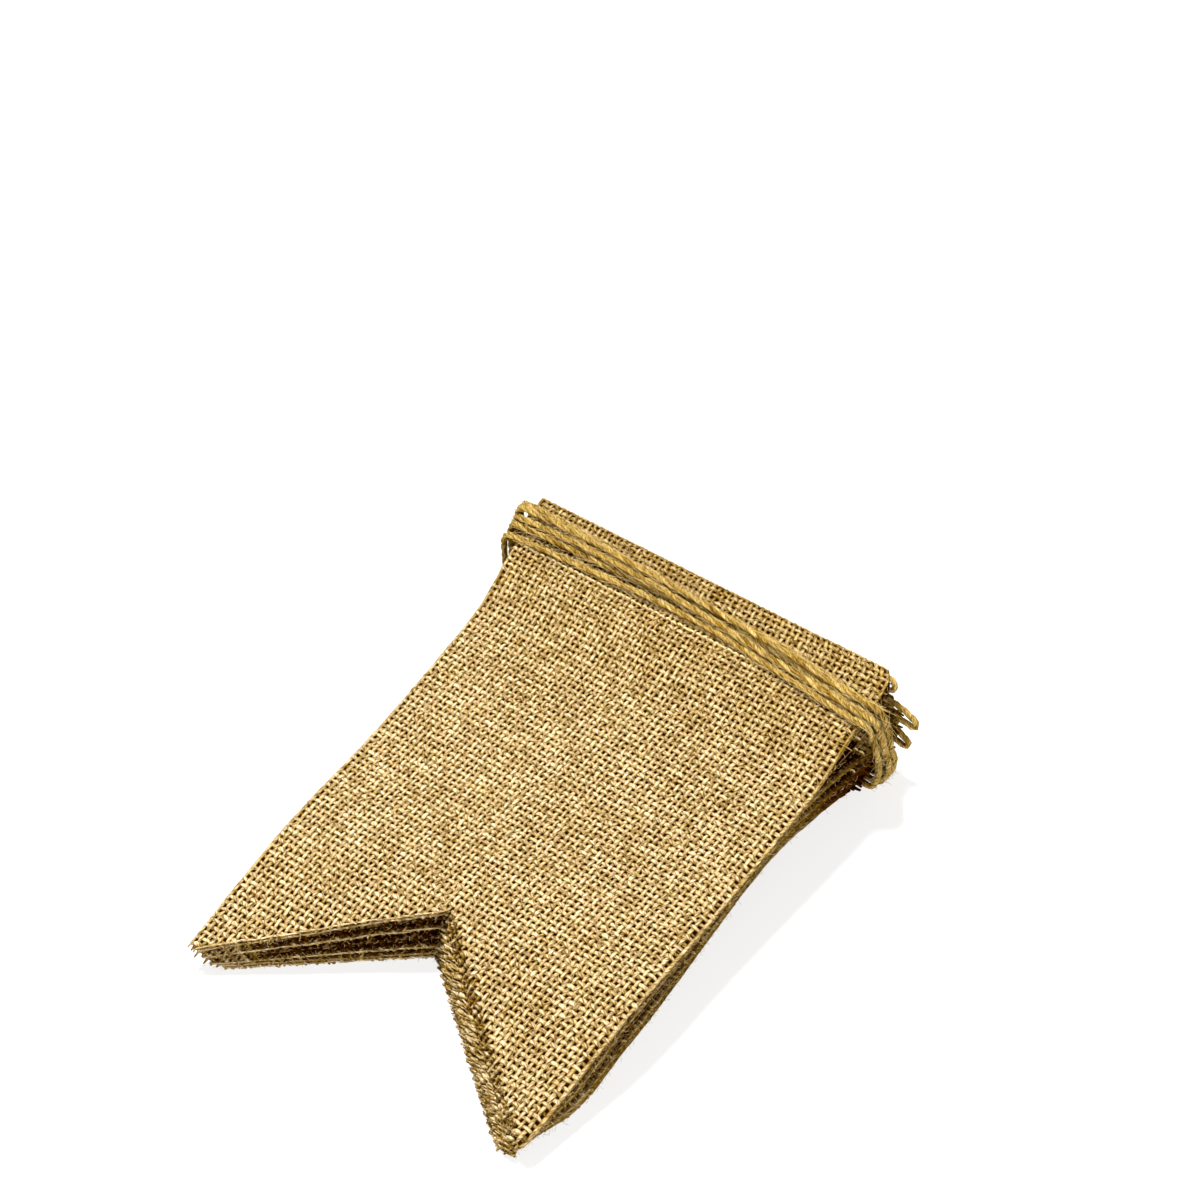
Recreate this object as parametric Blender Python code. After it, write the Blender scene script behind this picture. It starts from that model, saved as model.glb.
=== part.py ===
"""Burlap bunting, folded into a stack of eight swallowtail flags and bound
with its own jute cord.

X runs across the flags, Y from the tips to the header fold, Z up from the
surface that the stack lies on.  Sizes are in millimetres until the meshes are
made, which are in metres.
"""
import math

import bmesh
import bpy

MM = 0.001

# ---- driving dimensions ----
CLOTH = 1.0            # thickness of the burlap
GAP = 0.3              # air between two pieces that touch
CORD = 2.2             # diameter of the jute cord
LENGTH = 190.0         # header fold to tips
FOLD_Y = 93.0          # where the header fold of the top flag lies, at its left end
HEAD_TURN = 2.6        # its right end lies this much nearer to the tips
HEADER = 22.0          # depth of the sleeve
SEAM = 19.0            # where the sleeve is sewn shut
NOTCH_V = 142.0        # header fold to the point of the swallowtail
NOTCH_X = 1.2          # that point, across the flag
TIP_WIDTH = 2.0        # the tips are blunt
COLUMNS = 8            # facets across a flag, an even number
CENTRE_X = -0.48       # middle of the box round the flags, which is made the origin
CENTRE_Y = -2.55

TUNNEL = CORD + 2 * GAP              # inner height of the sleeve
SLEEVE = TUNNEL + 2 * CLOTH          # outer height of the sleeve
SLEEVE_PITCH = SLEEVE + GAP
UNDER = CORD + 2 * GAP               # room for the cord below the stack

# Sides of the top flag: distance from the fold, left side, right side.
EDGES = (
    (0.0, -70.2, 65.0),
    (22.0, -65.9, 66.2),
    (45.0, -62.2, 67.0),
    (93.0, -61.6, 67.3),
    (142.0, -62.2, 67.0),
    (190.0, -66.4, 63.5),
)

# How each flag lies against the top one, bottom flag first.
# head: shift of the sleeve; body: shift of the rest; left and right: further
# shift of the two tips; bow: how far the right side of its tail stands out;
# loft: rise to the next flag at the notch; split: how much further than the
# left one the right tail stands from the next flag's; out: its share of the
# ease at the right side, which grows from flag to flag.
FLAGS = (
    # head x, head y, body x, body y, left x, left y, right x, right y, bow, loft, split, out
    (-0.6, -1.6, -6.7, -3.1, 13.7, 8.2, -1.4, 2.4, 8.6, 2.4, -0.22, 0.0),
    (0.0, -1.0, -5.5, -2.8, 10.9, 6.2, -1.4, 1.8, 7.6, 3.8, -0.22, 0.08),
    (3.0, -0.8, -4.6, -2.6, 8.6, 4.7, -1.0, 1.5, 6.4, 4.2, -0.22, 0.18),
    (-1.0, -0.3, -3.8, -2.1, 6.5, 3.5, -0.9, 1.0, 5.0, 5.2, -0.22, 0.3),
    (5.0, -0.6, -2.8, -1.7, 4.6, 2.5, -0.6, 0.8, 3.6, 4.2, -0.22, 0.45),
    (2.0, -0.2, -1.8, -1.1, 2.8, 1.6, -0.4, 0.4, 2.2, 2.4, 1.32, 0.62),
    (-0.8, -0.3, -0.8, -0.5, 1.3, 0.9, 0.0, 0.2, 0.9, 1.7, -0.22, 0.8),
    (0.0, 0.0, 0.0, 0.0, 0.0, 0.0, 0.0, 0.0, 0.0, 0.0, 0.0, 1.0),
)
LOFT, SPLIT, OUT = 9, 10, 11    # columns of the table above
SPLIT_X = (0.0, 55.0)  # the split opens between these
HEAD_HOLD = 10.0       # the sleeve's shift is whole down to here
HEAD_FADE = 48.0       # and has faded out here
TIP_FADE = 93.0        # the tips' shift starts here
SIDE_OUT = (           # distance from the fold, how far the right side stands out
    (0.0, 0.5), (5.0, 3.6), (8.0, 4.1), (22.0, 3.9), (45.0, 3.6), (60.0, 3.1),
    (93.0, 2.1), (142.0, 1.3), (165.0, 0.5), (190.0, 0.0),
)
SIDE_BOW = (           # distance from the fold, share of a flag's bow
    (25.0, -0.05), (55.0, -0.3), (93.0, -0.06), (120.0, 0.22), (142.0, 0.42),
    (158.0, 0.7), (168.0, 0.72), (180.0, 0.4), (190.0, 0.1),
)

# Along the stack: y, rise from one flag to the next, share of its loft, the
# reach over which a flag sinks where it goes past the one below, and share of
# its split.
RISES = (
    (-110.0, 1.55, 0.0, 9.0, 1.0),
    (-95.0, 1.55, 0.0, 9.0, 1.0),
    (-49.0, 0.0, 1.0, 18.0, 0.6),
    (-5.0, 2.0, 0.55, 26.0, 0.0),
    (40.0, 4.75, 0.0, 45.0, 0.0),
    (66.0, SLEEVE_PITCH, 0.0, 90.0, 0.0),
    (100.0, SLEEVE_PITCH, 0.0, 90.0, 0.0),
)
LIFT_LOW = 40.0        # below this y the bottom flag lies on the surface
LIFT_HIGH = 64.0       # above this y it lies on the cord

# Wound cord: its five turns in the order in which they are wound.  y where
# the turn crosses the left end, the quarter, the middle, the three-quarter
# and the right end of the top, then y down the right side and under the
# stack.  A turn of rank 0 lies on the cloth, and one of a higher rank rides
# over those below it.
TURNS = (
    # left, quarter, middle, three-quarter, right, side, under, rank
    (85.6, 82.9, 80.4, 78.9, 74.6, 75.5, 88.0, 0),
    (83.0, 80.7, 79.1, 76.5, 72.7, 74.2, 82.3, 2),
    (77.6, 77.9, 77.8, 76.4, 70.7, 72.9, 85.2, 0),
    (80.4, 78.7, 76.2, 73.4, 68.8, 71.6, 79.6, 1),
    (73.0, 73.9, 74.4, 70.9, 66.8, 70.3, 76.8, 0),
)
TURN_X = (-66.0, -33.0, 0.0, 33.0, 66.0)
TOP_X = (-62.0, -38.0, -14.0, 10.0, 36.0, 60.0)
TURN_STEP = CORD + 0.45              # centre to centre where turns cross
TURN_SEAT = CORD / 2 + 0.5           # centre of a turn above the cloth
# The cord round the right end of the stack: x, part of the way up, share of
# its y on top, at the side and below, share of a second layer's step.
END_RIGHT = (
    (70.2, 0.997, 1.0, 0.0, 0.0, 0.0),
    (73.0, 0.925, 0.7, 0.3, 0.0, 0.65),
    (74.2, 0.6, 0.0, 1.0, 0.0, 1.0),
    (72.4, 0.33, 0.0, 0.5, 0.5, 1.05),
    (69.6, 0.11, 0.0, 0.15, 0.85, 0.6),
    (66.4, 0.0, 0.0, 0.0, 1.0, 0.0),
)
LAYER = 2.3             # a turn of a higher rank runs this much further out
# The cord round the left end: x, part of the way up.
END_LEFT = ((-71.8, 0.0), (-73.4, 0.13), (-72.4, 0.82), (-69.2, 0.99))
LEAN_Y = 74.5           # turns beyond this y stand out further at the left end,
LEAN = 0.18             # by this share of the way
TUCK = (15.0, 72.0)     # the cord's end is tucked under the stack here
# The first rise of the cord from the bottom sleeve: out, back and up from it.
FIRST_RISE = ((0.1, 0.0, 0.0), (1.8, 0.2, 0.2), (3.0, 1.6, 1.6), (3.4, 3.2, 4.4))

# The links of cord between two sleeves, bottom one first: how far each bows
# out and how far it hangs down.  Those on the right and left take turns.
LINKS = ((1.6, 0.0), (4.0, 0.0), (6.2, 2.6), (4.0, 0.0), (6.3, 2.6), (4.0, 0.0), (2.0, 0.4))
# The shape of a link: share of its reach, of the way between the sleeves and
# of its drop.
LINK_BOW = ((0.4, 0.0, 0.35), (0.85, 0.18, 0.9), (1.0, 0.5, 1.0), (0.85, 0.82, 0.9), (0.4, 1.0, 0.35))


# ---- small helpers ----
def clamp(value):
    return min(max(value, 0.0), 1.0)


def ease(value):
    value = clamp(value)
    return value * value * (3.0 - 2.0 * value)


def mix(start, end, part):
    return start + (end - start) * part


def from_origin(x, y, z):
    """Metres from the origin, for a point in the millimetres used here."""
    return ((x - CENTRE_X) * MM, (y - CENTRE_Y) * MM, z * MM)


def along(rows, place, column):
    """Smooth curve through a table's column, by the place in its first."""
    last = len(rows) - 1
    place = min(max(place, rows[0][0]), rows[last][0])
    k = 0
    while k < last - 1 and place > rows[k + 1][0]:
        k += 1
    step = rows[k + 1][0] - rows[k][0]
    part = (place - rows[k][0]) / step

    def slope(n):
        low, high = max(n - 1, 0), min(n + 1, last)
        return (rows[high][column] - rows[low][column]) / (rows[high][0] - rows[low][0])

    a, b = rows[k][column], rows[k + 1][column]
    square, cube = part * part, part ** 3
    return (
        a * (2 * cube - 3 * square + 1)
        + slope(k) * step * (cube - 2 * square + part)
        + b * (3 * square - 2 * cube)
        + slope(k + 1) * step * (cube - square)
    )


# ---- how the flags lie ----
def tail_part(v):
    return clamp((v - NOTCH_V) / (LENGTH - NOTCH_V))


def across(v, s, side):
    """x of the top flag: s is -1 at its left side and 1 at its right side."""
    left, right = along(EDGES, v, 1), along(EDGES, v, 2)
    part = tail_part(v)
    if part == 0.0:
        middle = mix(mix(left, right, 0.5), NOTCH_X, ease(v / NOTCH_V))
        return middle + (right - middle if s > 0 else middle - left) * s
    edge = left if side < 0 else right
    tip = EDGES[-1][1] + TIP_WIDTH if side < 0 else EDGES[-1][2] - TIP_WIDTH
    inner = mix(NOTCH_X, tip, part)
    return mix(inner, edge, abs(s))


def plan(flag, v, s, side=0):
    """x and y of a point of a flag, seen from above."""
    head_x, head_y, body_x, body_y, left_x, left_y, right_x, right_y, bow = FLAGS[flag][:LOFT]
    side = side or (1 if s > 0 else -1)
    hold = 1.0 - ease((v - HEAD_HOLD) / (HEAD_FADE - HEAD_HOLD))
    part = tail_part(v)
    reach = ease((v - TIP_FADE) / (LENGTH - TIP_FADE)) * (part + (1.0 - part) * abs(s))
    tip_x, tip_y = (left_x, left_y) if side < 0 else (right_x, right_y)
    x = across(v, s, side) + mix(body_x, head_x, hold) + tip_x * reach
    x += bow * along(SIDE_BOW, v, 1) * max(s, 0.0) ** 2
    x += FLAGS[flag][OUT] * along(SIDE_OUT, v, 1) * max(s, 0.0)
    y = FOLD_Y - v + mix(body_y, head_y, hold) + tip_y * reach
    return x, y - HEAD_TURN * (0.5 + 0.5 * s) * (1.0 - ease(v / NOTCH_V))


def outline(flag):
    """Corners of a flag seen from above, counter-clockwise."""
    rows = [0.0, 12.0, 24.0, 36.0, 48.0, 93.0, NOTCH_V, LENGTH]
    left = [plan(flag, v, -1.0) for v in rows]
    right = [plan(flag, v, 1.0) for v in rows]
    return left + [plan(flag, NOTCH_V, 0.0)] + right[::-1]


def outside(corners, x, y):
    """Distance from a point to an outline, 0 inside it."""
    inside = False
    best = 1e9
    for (ax, ay), (bx, by) in zip(corners, corners[1:] + corners[:1]):
        if (ay > y) != (by > y) and x < (bx - ax) * (y - ay) / (by - ay) + ax:
            inside = not inside
        run_x, run_y = bx - ax, by - ay
        part = clamp(((x - ax) * run_x + (y - ay) * run_y) / (run_x ** 2 + run_y ** 2))
        best = min(best, math.hypot(x - ax - run_x * part, y - ay - run_y * part))
    return 0.0 if inside else best


OUTLINES = [outline(flag) for flag in range(len(FLAGS))]


def rise(flag, x, y):
    """Height from a flag's underside to the next one's."""
    split = along(RISES, y, 4) * ease((x - SPLIT_X[0]) / (SPLIT_X[1] - SPLIT_X[0]))
    return along(RISES, y, 1) + along(RISES, y, 2) * FLAGS[flag][LOFT] + split * FLAGS[flag][SPLIT]


def level(flag, x, y):
    """Height of a flag's underside above the surface."""
    z = UNDER * ease((y - LIFT_LOW) / (LIFT_HIGH - LIFT_LOW))
    for lower in range(flag):
        past = outside(OUTLINES[lower], x, y) / along(RISES, y, 3)
        z += rise(lower, x, y) * max(1.0 - past * past, 0.0)
    return z


# ---- the section of a flag, from the sleeve to the tips ----
def sleeve_roof(v):
    """Inner height of the sleeve, which narrows towards its seam."""
    return TUNNEL * (1.0 - ease((v - 4.0) / (SEAM - 4.0)))


def body_lift(v):
    """The single cloth leaves the seam on top of the hem and sinks to rest."""
    return CLOTH * (1.0 - ease((v - HEADER) / 16.0))


def header_rings():
    """Matching outer and inner points of the sleeve: v and height."""
    turn = SLEEVE / 2
    outer, inner = [], []
    for v in (SEAM, 14.0, 9.0, 5.0):
        outer.append((v, 0.0))
        inner.append((v, CLOTH))
    for k in range(5):
        angle = math.radians(270 - 45 * k)
        outer.append((turn + turn * math.cos(angle), turn + turn * math.sin(angle)))
        hollow = TUNNEL / 2
        inner.append((turn + hollow * math.cos(angle), turn + hollow * math.sin(angle)))
    for v in (5.0, 9.0, 12.0, 15.5):
        roof = CLOTH + sleeve_roof(v)
        outer.append((v, roof + CLOTH))
        inner.append((v, roof))
    outer.append((SEAM, 2 * CLOTH))
    return outer, inner


BODY_ROWS = (HEADER, 27.0, 34.0, 48.0, 70.0, 93.0, 115.0, 130.0, NOTCH_V)
TAIL_ROWS = (150.0, 159.0, 168.0, 177.0, 184.0, LENGTH)


class Sheet:
    """Collects one flag's points and faces."""

    def __init__(self, flag):
        self.flag = flag
        self.mesh = bmesh.new()

    def point(self, v, height, s, side=0):
        x, y = plan(self.flag, v, s, side)
        z = level(self.flag, x, y) + height
        return self.mesh.verts.new(from_origin(x, y, z))

    def line(self, v, height, stations, side=0):
        return [self.point(v, height, s, side) for s in stations]

    def strip(self, first, second):
        for a, b, c, d in zip(first, first[1:], second[1:], second):
            self.mesh.faces.new((a, b, c, d))

    def quad(self, *corners):
        self.mesh.faces.new(corners)


def flag_mesh(flag):
    """One flag: sleeve with its hem sewn under, body and two tails."""
    sheet = Sheet(flag)
    stations = [-1.0 + 2.0 * k / COLUMNS for k in range(COLUMNS + 1)]
    outer_rows, inner_rows = header_rings()
    outer = [sheet.line(v, z, stations) for v, z in outer_rows]
    inner = [sheet.line(v, z, stations) for v, z in inner_rows]
    hem_low = sheet.line(HEADER, 0.0, stations)
    under = [sheet.line(v, body_lift(v), stations) for v in BODY_ROWS]
    over = [sheet.line(v, body_lift(v) + CLOTH, stations) for v in BODY_ROWS]

    skin = under[::-1] + [hem_low] + outer + over
    for low, high in zip(skin, skin[1:]):
        sheet.strip(low, high)
    for low, high in zip(inner, inner[1:] + inner[:1]):
        sheet.strip(high, low)
    for end, turn in ((0, False), (COLUMNS, True)):
        caps = [
            (outer[k][end], inner[k][end], inner[k + 1][end], outer[k + 1][end])
            for k in range(len(inner) - 1)
        ]
        pinch = inner[0][end]
        caps.append((outer[-2][end], inner[-1][end], pinch, outer[-1][end]))
        caps.append((hem_low[end], under[0][end], pinch, outer[0][end]))
        caps.append((under[0][end], over[0][end], outer[-1][end], pinch))
        for k in range(len(under) - 1):
            caps.append((under[k + 1][end], over[k + 1][end], over[k][end], under[k][end]))
        for cap in caps:
            sheet.quad(*(cap[::-1] if turn else cap))

    half = COLUMNS // 2
    for side, first in ((-1, 0), (1, half)):
        part = stations[first:first + half + 1]
        low_rows = [under[-1][first:first + half + 1]]
        high_rows = [over[-1][first:first + half + 1]]
        for v in TAIL_ROWS:
            low_rows.append(sheet.line(v, 0.0, part, side))
            high_rows.append(sheet.line(v, CLOTH, part, side))
        for k in range(len(TAIL_ROWS)):
            sheet.strip(low_rows[k + 1], low_rows[k])
            sheet.strip(high_rows[k], high_rows[k + 1])
            for end, turn in ((0, False), (-1, True)):
                rim = (
                    low_rows[k][end], low_rows[k + 1][end],
                    high_rows[k + 1][end], high_rows[k][end],
                )
                sheet.quad(*(rim[::-1] if turn else rim))
        sheet.strip(low_rows[-1][::-1], high_rows[-1][::-1])
    bmesh.ops.recalc_face_normals(sheet.mesh, faces=sheet.mesh.faces)
    return sheet.mesh


# ---- the cord ----
def sleeve_path(flag, ends):
    """Centre of a sleeve across its flag, at a few stations."""
    points = []
    for s in ends:
        x, y = plan(flag, SLEEVE / 2, s)
        points.append((x, y, level(flag, x, y) + SLEEVE / 2))
    return points


def strung_route():
    """The cord through all the sleeves, turning back at alternate ends."""
    stations = [-1.0, -0.75, -0.5, 0.5, 0.75, 1.0]
    route = []
    for flag in range(len(FLAGS)):
        onward = flag % 2 == 0
        run = sleeve_path(flag, stations if onward else stations[::-1])
        if route:
            out = -1.0 if onward else 1.0
            x0, y0, z0 = route[-1]
            x1, y1, z1 = run[0]
            bow, drop = LINKS[flag - 1]
            far = (max(x0 * out, x1 * out) + bow) * out
            for reach, part, hang in LINK_BOW:
                # the cord comes from the lower sleeve, so a link is drawn upwards
                x = mix(x0 if part < 0.5 else x1, far, reach)
                route.append((x, mix(y0, y1, part), mix(z0, z1, part) - drop * hang))
        route += run
    return route


def top_of_stack(x, y):
    """Height of the top flag's face."""
    part = (x - EDGES[0][1]) / (EDGES[0][2] - EDGES[0][1])
    v = FOLD_Y - y - HEAD_TURN * clamp(part)
    if v < SEAM:
        thick = sleeve_roof(v) + 2 * CLOTH
    else:
        thick = body_lift(v) + CLOTH
    return level(len(FLAGS) - 1, x, y) + thick


def turn_y(turn, x):
    """y of a turn where it runs over the top."""
    return along(tuple(zip(TURN_X, TURNS[turn][:5])), x, 1)


def turn_height(turn, x):
    """The lowest turns lie on the cloth, the others ride over those."""
    y = turn_y(turn, x)
    rank = TURNS[turn][-1]
    z = top_of_stack(x, y) + TURN_SEAT
    for other, row in enumerate(TURNS):
        off = abs(turn_y(other, x) - y)
        if row[-1] < rank and off < TURN_STEP:
            z = max(z, turn_height(other, x) + math.sqrt(TURN_STEP ** 2 - off ** 2))
    return z


def wound_route():
    """Out of the bottom sleeve, then five turns: over, down, under and up."""
    low = CORD / 2
    high = turn_height(0, TOP_X[0])
    x0, y0, z0 = strung_route()[0]
    route = [(x0 - GAP - out, y0 - back, z0 + up) for out, back, up in FIRST_RISE]
    for x, part in END_LEFT[2:]:
        lean = LEAN * (TURNS[0][0] - LEAN_Y)
        route.append((x - lean, TURNS[0][0] + 1.2 * (1.0 - part), mix(low, high, part)))
    for turn, row in enumerate(TURNS):
        for x in TOP_X:
            route.append((x, turn_y(turn, x), turn_height(turn, x)))
        high, right, side, under, rank = route[-1][2], *row[4:]
        for x, part, on_top, beside, below, step in END_RIGHT:
            y = on_top * right + beside * side + below * under
            route.append((x + step * LAYER * min(rank, 1), y, mix(low, high, part)))
        if turn + 1 == len(TURNS):
            route.append((*TUCK, low))
            break
        left = TURNS[turn + 1][0]
        high = turn_height(turn + 1, TOP_X[0])
        for x, part in END_LEFT:
            y = mix(mix(under, left, 0.75), left, part)
            route.append((x - LEAN * (left - LEAN_Y), y, mix(low, high, part)))
    return route


def cord_curve(name, route):
    """A round tube along a route."""
    curve = bpy.data.curves.new(name, "CURVE")
    curve.dimensions = "3D"
    curve.bevel_depth = CORD / 2 * MM
    curve.bevel_resolution = 2
    curve.use_fill_caps = True
    spline = curve.splines.new("POLY")
    spline.points.add(len(route) - 1)
    for point, place in zip(spline.points, route):
        point.co = (*from_origin(*place), 1.0)
    return curve


# ---- scene ----
def material(name, colour, roughness):
    made = bpy.data.materials.new(name)
    made.use_nodes = True
    shader = made.node_tree.nodes["Principled BSDF"]
    shader.inputs["Base Color"].default_value = (*colour, 1.0)
    shader.inputs["Roughness"].default_value = roughness
    shader.inputs["Metallic"].default_value = 0.0
    return made


def place(name, data, finish):
    data.materials.append(finish)
    made = bpy.data.objects.new(name, data)
    bpy.context.scene.collection.objects.link(made)
    return made


def main():
    for old in list(bpy.data.objects):
        bpy.data.objects.remove(old, do_unlink=True)
    burlap = material("burlap", (0.48, 0.34, 0.15), 0.9)
    jute = material("jute", (0.42, 0.30, 0.13), 0.85)
    for flag in range(len(FLAGS)):
        shape = flag_mesh(flag)
        mesh = bpy.data.meshes.new("flag_%d" % (flag + 1))
        shape.to_mesh(mesh)
        shape.free()
        mesh.shade_smooth()
        mesh.set_sharp_from_angle(angle=math.radians(40))
        place(mesh.name, mesh, burlap)
    place("strung_cord", cord_curve("strung_cord", strung_route()), jute)
    place("wound_cord", cord_curve("wound_cord", wound_route()), jute)


main()
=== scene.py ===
"""Burlap bunting: eight swallowtail flags folded into a stack, one on another,
and bound round their sleeves with their own jute cord.

X runs across the flags, Y from the tips to the header folds and Z up from the
surface.  Sizes are in millimetres until a mesh is made, which is in metres.
On a flag, v runs from the header fold to the tips, w along the cut cloth from
its hem and s across it, from -1 at the left side to 1 at the right.
"""

import math

import bpy
import numpy as np
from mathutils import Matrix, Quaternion, Vector


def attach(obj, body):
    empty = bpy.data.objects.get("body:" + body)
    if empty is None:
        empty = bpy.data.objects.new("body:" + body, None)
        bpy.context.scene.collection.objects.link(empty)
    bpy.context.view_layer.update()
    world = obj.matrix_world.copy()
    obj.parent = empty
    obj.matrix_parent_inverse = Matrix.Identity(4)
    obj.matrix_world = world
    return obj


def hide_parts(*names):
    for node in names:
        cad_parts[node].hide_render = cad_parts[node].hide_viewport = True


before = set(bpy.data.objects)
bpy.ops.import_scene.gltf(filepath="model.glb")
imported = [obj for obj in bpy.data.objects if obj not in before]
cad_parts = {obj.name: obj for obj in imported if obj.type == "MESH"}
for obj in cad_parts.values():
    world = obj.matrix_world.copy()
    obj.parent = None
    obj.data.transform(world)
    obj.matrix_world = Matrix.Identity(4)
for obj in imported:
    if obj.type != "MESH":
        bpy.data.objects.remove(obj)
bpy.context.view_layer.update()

MM = 0.001

# ---- sizes, as in the part ----
CLOTH = 1.0            # thickness of the burlap
GAP = 0.3              # air between two pieces that touch
CORD = 2.2             # diameter of the jute cord
LENGTH = 190.0         # header fold to tips
FOLD_Y = 93.0          # where the header fold of the top flag lies, at its left end
HEAD_TURN = 2.6        # its right end lies this much nearer to the tips
HEADER = 22.0          # depth of the sleeve
SEAM = 19.0            # where the sleeve is sewn shut
NOTCH_V = 142.0        # header fold to the point of the swallowtail
NOTCH_X = 1.2          # that point, across the flag
TIP_WIDTH = 2.0        # the tips are blunt
HALF_WIDTH = 66.0      # half the width of a flag
CENTRE_X = -0.48       # middle of the box round the flags, which is the origin
CENTRE_Y = -2.55

TUNNEL = CORD + 2 * GAP              # inner height of the sleeve
SLEEVE = TUNNEL + 2 * CLOTH          # outer height of the sleeve
SLEEVE_PITCH = SLEEVE + GAP
UNDER = CORD + 2 * GAP               # room for the cord below the stack

EDGES = (
    # distance from the fold, left side, right side
    (0.0, -70.2, 65.0),
    (22.0, -65.9, 66.2),
    (45.0, -62.2, 67.0),
    (93.0, -61.6, 67.3),
    (142.0, -62.2, 67.0),
    (190.0, -66.4, 63.5),
)
FLAGS = (
    # head x, head y, body x, body y, left x, left y, right x, right y, bow, loft, split, out
    (-0.6, -1.6, -6.7, -3.1, 13.7, 8.2, -1.4, 2.4, 8.6, 2.4, -0.22, 0.0),
    (0.0, -1.0, -5.5, -2.8, 10.9, 6.2, -1.4, 1.8, 7.6, 3.8, -0.22, 0.08),
    (3.0, -0.8, -4.6, -2.6, 8.6, 4.7, -1.0, 1.5, 6.4, 4.2, -0.22, 0.18),
    (-1.0, -0.3, -3.8, -2.1, 6.5, 3.5, -0.9, 1.0, 5.0, 5.2, -0.22, 0.3),
    (5.0, -0.6, -2.8, -1.7, 4.6, 2.5, -0.6, 0.8, 3.6, 4.2, -0.22, 0.45),
    (2.0, -0.2, -1.8, -1.1, 2.8, 1.6, -0.4, 0.4, 2.2, 2.4, 1.32, 0.62),
    (-0.8, -0.3, -0.8, -0.5, 1.3, 0.9, 0.0, 0.2, 0.9, 1.7, -0.22, 0.8),
    (0.0, 0.0, 0.0, 0.0, 0.0, 0.0, 0.0, 0.0, 0.0, 0.0, 0.0, 1.0),
)
LOFT, SPLIT, OUT = 9, 10, 11         # columns of the table above
SPLIT_X = (0.0, 55.0)                # the split opens between these
HEAD_HOLD = 10.0                     # the head's shift is whole down to here
HEAD_FADE = 48.0                     # and has faded out here
TIP_FADE = 93.0                      # the tips' shift starts here
SIDE_OUT = (
    # distance from the fold, how far the right side stands out
    (0.0, 0.5), (5.0, 3.6), (8.0, 4.1), (22.0, 3.9), (45.0, 3.6), (60.0, 3.1),
    (93.0, 2.1), (142.0, 1.3), (165.0, 0.5), (190.0, 0.0),
)
SIDE_BOW = (
    # distance from the fold, share of a flag's bow
    (25.0, -0.05), (55.0, -0.3), (93.0, -0.06), (120.0, 0.22), (142.0, 0.42),
    (158.0, 0.7), (168.0, 0.72), (180.0, 0.4), (190.0, 0.1),
)
RISES = (
    # y, rise to the next flag, share of its loft, reach of its droop, share of its split
    (-110.0, 1.55, 0.0, 9.0, 1.0),
    (-95.0, 1.55, 0.0, 9.0, 1.0),
    (-49.0, 0.0, 1.0, 18.0, 0.6),
    (-5.0, 2.0, 0.55, 26.0, 0.0),
    (40.0, 4.75, 0.0, 45.0, 0.0),
    (66.0, SLEEVE_PITCH, 0.0, 90.0, 0.0),
    (100.0, SLEEVE_PITCH, 0.0, 90.0, 0.0),
)
LIFT_LOW = 40.0                      # below this y the lowest flag lies on the surface
LIFT_HIGH = 64.0                     # above this y it lies on the cord

TURNS = (
    # left, quarter, middle, three-quarter, right, side, under, rank
    (85.6, 82.9, 80.4, 78.9, 74.6, 75.5, 88.0, 0),
    (83.0, 80.7, 79.1, 76.5, 72.7, 74.2, 82.3, 2),
    (77.6, 77.9, 77.8, 76.4, 70.7, 72.9, 85.2, 0),
    (80.4, 78.7, 76.2, 73.4, 68.8, 71.6, 79.6, 1),
    (73.0, 73.9, 74.4, 70.9, 66.8, 70.3, 76.8, 0),
)
TURN_X = (-66.0, -33.0, 0.0, 33.0, 66.0)
TOP_X = (-62.0, -38.0, -14.0, 10.0, 36.0, 60.0)
TURN_STEP = CORD + 0.45              # centre to centre where turns cross
TURN_SEAT = CORD / 2 + 0.5           # centre of a turn above the cloth
END_RIGHT = (
    # x, part of the way up, share of y on top, at the side and below, of a layer's step
    (70.2, 0.997, 1.0, 0.0, 0.0, 0.0),
    (73.0, 0.925, 0.7, 0.3, 0.0, 0.65),
    (74.2, 0.6, 0.0, 1.0, 0.0, 1.0),
    (72.4, 0.33, 0.0, 0.5, 0.5, 1.05),
    (69.6, 0.11, 0.0, 0.15, 0.85, 0.6),
    (66.4, 0.0, 0.0, 0.0, 1.0, 0.0),
)
LAYER = 2.3                          # a turn of a higher rank runs this much further out
END_LEFT = (
    # x, part of the way up
    (-71.8, 0.0), (-73.4, 0.13), (-72.4, 0.82), (-69.2, 0.99),
)
LEAN_Y = 74.5                        # turns beyond this y stand out further at the left end,
LEAN = 0.18                          # by this share of the way
TUCK = (15.0, 72.0)                  # the cord's end is tucked under the stack here
FIRST_RISE = (
    # out, back and up from the lowest sleeve
    (0.1, 0.0, 0.0), (1.8, 0.2, 0.2), (3.0, 1.6, 1.6), (3.4, 3.2, 4.4),
)
LINKS = (
    # how far each link of cord between two sleeves bows out and hangs down
    (1.6, 0.0), (4.0, 0.0), (6.2, 2.6), (4.0, 0.0), (6.3, 2.6), (4.0, 0.0), (2.0, 0.4),
)
LINK_BOW = (
    # share of a link's reach, of the way between the sleeves and of its drop
    (0.4, 0.0, 0.35), (0.85, 0.18, 0.9), (1.0, 0.5, 1.0), (0.85, 0.82, 0.9), (0.4, 1.0, 0.35),
)

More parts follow.
